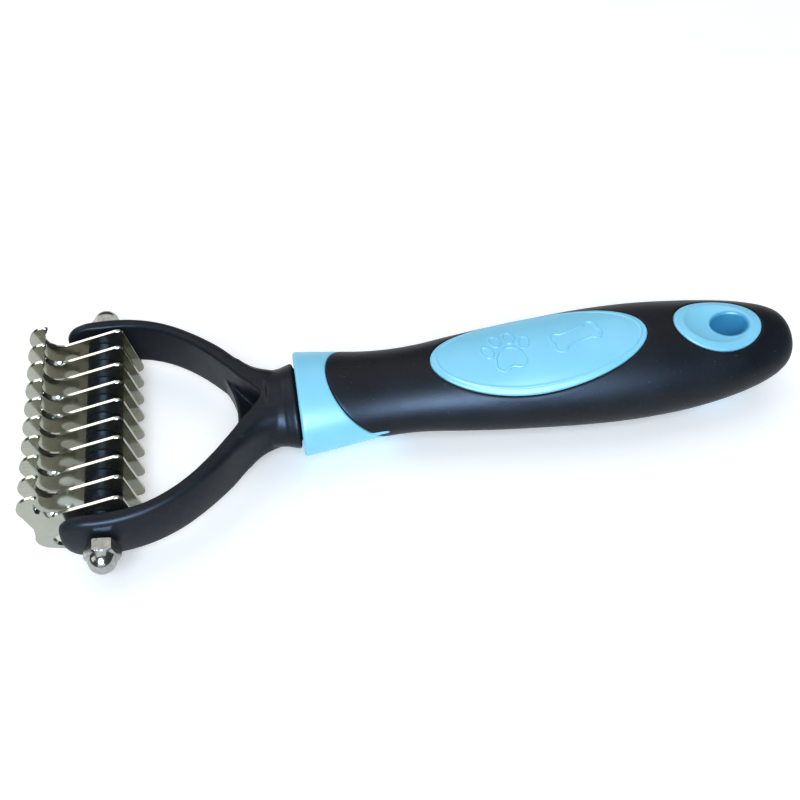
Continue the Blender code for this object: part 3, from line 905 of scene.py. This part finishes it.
def turns_round():
    """Turns about the axis from the seam to the seam, closer together beside the parting lines."""
    turns = [SEAM_TURN + 2 * math.pi * i / TURN_COUNT for i in range(TURN_COUNT + 1)]
    for middle in (-TONGUE_TURN, math.pi + TONGUE_TURN):
        turns = [t for t in turns if abs(t - middle) > TONGUE_ZONE]
        turns += [middle + d for d in TONGUE_TURNS]
    return sorted(turns)


TURNS = turns_round()


def grown(shape, by):
    return shape[0], shape[1] + by, shape[2] + by


def oval_plan(shape, count):
    """Points round an oval, seen from above."""
    centre, half_x, half_y = shape
    return [(centre + half_x * math.cos(2 * math.pi * (i + 0.5) / count),
             half_y * math.sin(2 * math.pi * (i + 0.5) / count)) for i in range(count)]


def inside_plan(shape, x, y):
    centre, half_x, half_y = shape
    return ((x - centre) / half_x) ** 2 + (y / half_y) ** 2 < 1


def in_opening(s, turn, grow):
    """Whether a point of the skin lies in one of the rubber's openings, each grown by some millimetres."""
    x, radius, _ = skin.station(s)
    y = SECTION_WIDE * radius * math.cos(turn)
    return math.sin(turn) > 0 and inside_plan(grown(OVAL, grow), x, y) or inside_plan(grown(EYELET, grow), x, y)


def grip_sheet():
    """The rubber's unrolled sheet: its triangles, and for each corner (distance, turn, lift)."""
    flat, lifts, edges = [], [], []

    def add(points, lift):
        flat.extend(Vector((s, turn * UNROLL)) for s, turn in points)
        lifts.extend(lift for _ in points)

    def add_line(points, lift, closed):
        start, count = len(flat), len(points)
        add(points, lift)
        edges.extend((start + i, start + (i + 1) % count) for i in range(count if closed else count - 1))

    end_run = skin.length - SHEET_END
    for away, lift in GRIP_RINGS:
        add_line([(cut_run(t) + away * EDGE_STRETCH, t) for t in TURNS], lift, False)
        for shape, side, count in ((OVAL, 1, OVAL_SIDES), (EYELET, 1, EYELET_SIDES), (EYELET, -1, EYELET_SIDES)):
            add_line([skin.above(x, y, side) for x, y in oval_plan(grown(shape, away), count)], lift, True)
    add_line([(end_run, t) for t in TURNS], 0.0, False)
    seam = max(cut_run(TURNS[0]), cut_run(TURNS[-1])) + GRIP_RINGS[-1][0] * EDGE_STRETCH
    for t in (TURNS[0], TURNS[-1]):
        add([(seam + (end_run - seam) * i / SEAM_STEPS, t) for i in range(1, SEAM_STEPS)], 0.0)
    rows = int(2 * math.pi * UNROLL / SHEET_PITCH)
    for j in range(1, rows):
        t = TURNS[0] + 2 * math.pi * j / rows
        front = cut_run(t) + CLEAR_FRONT
        for i in range(int((end_run - front) / SHEET_PITCH)):
            s = front + (i + 0.5 * (j % 2)) * SHEET_PITCH
            if s <= end_run - CLEAR_TAIL and not in_opening(s, t, CLEAR_OPENING):
                add([(s, t)], 0.0)
    made = geometry.delaunay_2d_cdt(flat, edges, [], 0, 1e-7, True)
    places = [(point.x, point.y / UNROLL, lifts[origins[0]] if origins else 0.0)
              for point, origins in zip(made[0], made[3])]
    return [face for face in made[2] if in_rubber(face, places)], places, end_run


def in_rubber(face, places):
    """Whether a triangle's middle is on the rubber, not in an opening or before the front edge."""
    s = sum(places[i][0] for i in face) / 3
    t = sum(places[i][1] for i in face) / 3
    return s >= cut_run(t) + 0.01 and not in_opening(s, t, 0.0)


def make_grip(look):
    """The rubber shell: its skin is unrolled, triangulated round its openings, rolled up and given thickness."""
    faces, places, end_run = grip_sheet()
    used = sorted({i for face in faces for i in face})
    bm = bmesh.new()
    outer = {i: bm.verts.new(skin.point(*places[i])) for i in used}
    inner = {i: bm.verts.new(skin.point(places[i][0], places[i][1], -GRIP_THICKNESS)) for i in used}
    for face in faces:
        bm.faces.new([outer[i] for i in face])
        bm.faces.new([inner[i] for i in reversed(face)])
    tip = [i for i in used if abs(places[i][0] - end_run) < 1e-4]
    tip.sort(key=lambda i: places[i][1])
    for points in (outer, inner):
        bm.faces.new([points[i] for i in tip[:-1]])
    bmesh.ops.remove_doubles(bm, verts=bm.verts[:], dist=MERGE_DISTANCE)
    pair = {outer[i]: inner[i] for i in used if outer[i].is_valid and inner[i].is_valid}
    rim = [e for e in bm.edges if len(e.link_faces) == 1 and e.verts[0] in pair and e.verts[1] in pair]
    for edge in rim:
        a, b = edge.verts
        bm.faces.new((a, b, pair[b], pair[a]))
    # Closes the one small gap left in the wall between the two skins.
    bmesh.ops.holes_fill(bm, edges=[edge for edge in bm.edges if edge.is_boundary], sides=8)
    finish_piece("rubber_grip", bm, "handle", ["handle_grip"], look, MOULDED_SHARP)


def quarter(radius, steps):
    """Where a rounded edge is at each step of its quarter turn: (short of its side, short of its end)."""
    turns = [math.radians(90 * k / steps) for k in range(steps + 1)]
    return [(radius * (1 - math.sin(a)), radius * (1 - math.cos(a))) for a in turns]


def collar_rings():
    """Blue collar from its recessed front face back to the grip's slanted edge, and the core inside the grip."""
    turns = TURNS[:-1]
    rings = [ellipse_ring(HANDLE_PROFILE[0][0] + back, wide, tall, HANDLE_RISE, turns)
             for wide, tall, back in COLLAR_RIM]
    for inset, back in quarter(COLLAR_FILLET, 7):
        rings.append([skin.point(back, t, -inset) for t in turns])
    for k in range(1, COLLAR_STEPS + 1):
        rings.append([skin.point(COLLAR_FILLET + (cut_run(t) - COLLAR_END - COLLAR_FILLET) * k / COLLAR_STEPS, t)
                      for t in turns])
    for away, lift in COLLAR_EDGE:
        rings.append([skin.point(cut_run(t) + away * EDGE_STRETCH, t, lift) for t in turns])
    for k in range(1, CORE_STEPS):
        rings.append([skin.point(cut_run(t) + (skin.run_at(CORE_END) - cut_run(t)) * k / CORE_STEPS, t,
                                 -GRIP_THICKNESS - CORE_GAP) for t in turns])
    return rings


def edge_drop(edge):
    """How far an insert's rounded edge is below its face, at a distance in from the edge."""
    return INSERT_EDGE - math.sqrt(max(0.0, INSERT_EDGE**2 - max(0.0, INSERT_EDGE - edge) ** 2))


def insert_lift(edge):
    """Relief of the thumb oval at a distance in from its edge."""
    place, spread, height = OVAL_RIDGE
    return OVAL_RELIEF - edge_drop(edge) + height * math.exp(-(((edge - place) / spread) ** 2))


def oval_rings():
    """Thumb oval as rings from its middle out to its edge and down its wall."""
    centre, half_x, half_y = grown(OVAL, -INSERT_GAP)
    rings = []
    for edge in OVAL_STEPS:
        inset = min(edge, half_y - OVAL_MIDDLE)
        shape = (centre, half_x - inset * (1 + (edge / half_y) ** 2 * OVAL_NARROWING), half_y - inset)
        rings.append([skin.point(*skin.above(x, y), insert_lift(edge)) for x, y in oval_plan(shape, OVAL_SIDES)])
    rings.append([skin.point(*skin.above(x, y), -GRIP_THICKNESS - OVAL_FOOT)
                  for x, y in oval_plan((centre, half_x, half_y), OVAL_SIDES)])
    return rings


def eyelet_rings():
    """Eyelet as one ring-shaped solid: hole, lip, dish, rim and outer wall, above and below."""
    def surface(x, y, side, lift):
        place = skin.above(x, y, side)
        return skin.raw(*place) + skin.normal(*place) * lift

    def dished(x, y):
        away = ((x - DISH[0]) / DISH[1]) ** 2 + (y / DISH[2]) ** 2
        return DISH_DEPTH * max(0.0, 1 - away) ** DISH_CURVE

    def between(first, last, share):
        return tuple(a + (b - a) * share for a, b in zip(first, last))

    (foot, foot_lift), (ledge, ledge_lift) = DISH_RIM
    rows = [(grown(HOLE, grow), drop) for drop, grow in quarter(HOLE_LIP, 6)]
    rows += [(between(grown(HOLE, HOLE_LIP), DISH, k / 10), 0.0) for k in range(1, 11)]
    rows += [(grown(DISH, foot), -foot_lift)]
    rows += [(between(grown(DISH, ledge), grown(EYELET, -RIM_SHOULDER), k / 4), -ledge_lift) for k in range(5)]
    rows += [(grown(EYELET, -INSERT_GAP - edge), edge_drop(edge) - ledge_lift) for edge in RIM_EDGE]
    upper, lower = [
        [[at(*surface(x, y, side, -drop - dished(x, y))) for x, y in oval_plan(shape, EYELET_SIDES)]
         for shape, drop in rows] for side in (1, -1)]
    return upper + lower[::-1]


def emboss(bm, points):
    """A raised line on the thumb oval round a closed row of (x, y) points."""
    rings = []
    for i, here in enumerate(points):
        before, after = points[i - 1], points[(i + 1) % len(points)]
        side = Vector((-(after[1] - before[1]), after[0] - before[0])).normalized()
        ring = []
        for k in range(LINE_STEPS + 1):
            a = math.pi * k / LINE_STEPS
            x = here[0] + side.x * LINE_WIDTH * math.cos(a)
            y = here[1] + side.y * LINE_WIDTH * math.cos(a)
            ring.append(skin.point(*skin.above(x, y), LINE_FOOT + LINE_HEIGHT * math.sin(a)))
        rings.append(ring)
    add_rings(bm, rings, loop=True)


def turned(points, centre, angle):
    """The points turned by an angle in degrees and moved to the centre."""
    c, s = math.cos(math.radians(angle)), math.sin(math.radians(angle))
    return [(centre[0] + x * c - y * s, centre[1] + x * s + y * c) for x, y in points]


def paw_lines():
    """Outlines of a plain paw print and a plain bone, in the oval's plan."""
    lines = [turned(smooth_curve(PAW_PAD, PAD_STEP)[:-1], *PAW_PLACE)]
    for place, lean in PAW_TOES:
        toe = [(TOE_SIZE[0] * math.cos(a), TOE_SIZE[1] * math.sin(a)) for a in turns_of(TOE_STEPS)]
        lines.append(turned(turned(toe, place, lean), *PAW_PLACE))
    off = BONE_LOBE * BONE_SPACING
    bone = arc((BONE_HALF, off), BONE_LOBE, -40, 150, 12) + arc((-BONE_HALF, off), BONE_LOBE, 30, 220, 12)
    bone += arc((-BONE_HALF, -off), BONE_LOBE, 140, 330, 12) + arc((BONE_HALF, -off), BONE_LOBE, 210, 400, 12)
    lines.append(turned(bone, *BONE_PLACE))
    return lines


def make_core(look):
    bm = bmesh.new()
    add_rings(bm, collar_rings())
    add_rings(bm, oval_rings())
    add_rings(bm, eyelet_rings(), loop=True)
    for line in paw_lines():
        emboss(bm, line)
    finish_piece("blue_core", bm, "handle", ["handle_core"], look, MOULDED_SHARP)


# ---- studio

# The camera's place from the bolt, its angles in degrees and its lens in millimetres.
CAMERA_OFFSET = Vector((46.235, -154.73, 192.95))
CAMERA_AZIMUTH = -9.06
CAMERA_ELEVATION = 51.37
CAMERA_ROLL = -0.436
CAMERA_LENS = 45.843
CAMERA_SENSOR = 36.0
FLOOR_SIZE = 12.0
FLOOR_GAP = 0.0002  # metres below the lowest point of the CAD
FLOOR_GLOW = 0.3  # lifts the floor's own shadows a little
WORLD_COLOUR = (0.93, 0.95, 1.0, 1)
WORLD_STRENGTH = 0.12


def make_camera():
    azimuth, elevation = math.radians(CAMERA_AZIMUTH), math.radians(CAMERA_ELEVATION)
    back = Vector((
        math.sin(azimuth) * math.cos(elevation), -math.cos(azimuth) * math.cos(elevation), math.sin(elevation)))
    right = UP.cross(back).normalized()
    up = back.cross(right)
    turn = Matrix((right, up, back)).transposed() @ Euler((0, 0, math.radians(CAMERA_ROLL))).to_matrix()
    data = bpy.data.cameras.new("camera")
    data.lens = CAMERA_LENS
    data.sensor_width = CAMERA_SENSOR
    data.clip_start = 0.01
    camera = new_object("camera", data)
    camera.matrix_world = Matrix.Translation(BOLT + CAMERA_OFFSET * MM) @ turn.to_4x4()
    bpy.context.scene.camera = camera


def softbox(name, place, size, energy, colour=(1, 1, 1), diffuse=True):
    """A rectangular lamp aimed at the frame's origin; diffuse=False makes it show in reflections only."""
    data = bpy.data.lights.new(name, "AREA")
    data.shape = "RECTANGLE"
    data.size, data.size_y = size
    data.energy = energy
    data.color = colour
    lamp = new_object(name, data)
    lamp.location = place
    lamp.visible_diffuse = diffuse
    lamp.rotation_euler = (-Vector(place)).to_track_quat("-Z", "Y").to_euler()


def make_studio():
    bm = bmesh.new()
    bmesh.ops.create_grid(bm, x_segments=8, y_segments=8, size=FLOOR_SIZE)
    floor = mesh_object("floor", bm)
    look = Look("pale_floor", (0.9, 0.9, 0.9), 0.7, specular=0.1)
    look.colour(look.colours(look.noise(60.0), (0.885, 0.885, 0.885), (0.905, 0.905, 0.905)))
    look.shader.inputs["Emission Color"].default_value = (1, 1, 1, 1)
    look.shader.inputs["Emission Strength"].default_value = FLOOR_GLOW
    floor.data.materials.append(look.material)
    floor.location.z = cad_box[0].z - FLOOR_GAP
    softbox("overhead", (-0.05, 0.5, 1.1), (1.7, 1.5), 9.0, (1.0, 0.98, 0.96))
    softbox("near_side", (-0.07, -0.45, 0.6), (0.36, 0.34), 3.4, (0.8, 0.9, 1.0))
    softbox("near_sheen", (-0.09, -0.55, 0.46), (0.34, 0.26), 26.0, (0.36, 0.6, 1.0), diffuse=False)
    softbox("far_glint", (-0.62, 0.62, 0.58), (0.5, 0.4), 2.2, diffuse=False)
    softbox("near_low", (-0.1, -0.95, 0.3), (0.9, 0.34), 1.3, (0.8, 0.9, 1.0))
    softbox("left_side", (-0.75, -0.1, 0.45), (0.4, 0.5), 0.9)
    world = bpy.data.worlds.new("studio")
    world.use_nodes = True
    background = world.node_tree.nodes["Background"]
    background.inputs["Color"].default_value = WORLD_COLOUR
    background.inputs["Strength"].default_value = WORLD_STRENGTH
    bpy.context.scene.world = world
    bpy.context.scene.view_settings.view_transform = "Standard"


def main():
    make_blades(blade_look())
    make_sleeves(sleeve_look())
    make_nuts(nut_look())
    make_fork(fork_look())
    make_core(core_look())
    make_grip(grip_look())
    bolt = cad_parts["through_bolt"]
    bolt.data.materials.clear()
    bolt.data.materials.append(bolt_look())
    make_studio()
    make_camera()


main()
